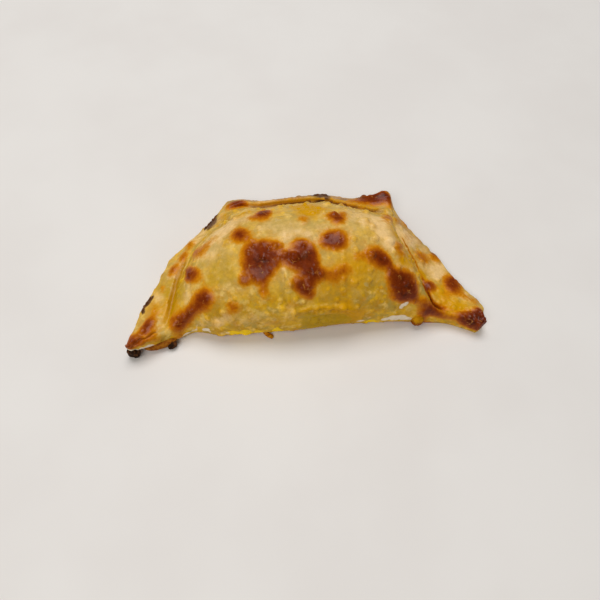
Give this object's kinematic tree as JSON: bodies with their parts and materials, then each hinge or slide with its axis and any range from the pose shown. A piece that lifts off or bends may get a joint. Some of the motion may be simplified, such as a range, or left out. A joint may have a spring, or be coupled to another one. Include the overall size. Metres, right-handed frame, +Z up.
{
  "type": "baked empanada",
  "caption": "Baked half-moon turnover with a puffed body, flat pointed ends and a margin folded in straight folds round the back.",
  "frame": {"origin": "middle of the bounding box's bottom, on the surface it rests on", "axes": "+X from the left tip to the right tip, +Y from the closed front fold to the folded margin at the back, +Z up"},
  "size_m": [0.1792, 0.0932, 0.0417],
  "materials": {
    "crust": "baked dough, golden and unevenly browned, with a thin egg glaze"
  },
  "bodies": {
    "root": {"empanada": "crust"}
  },
  "joints": []
}
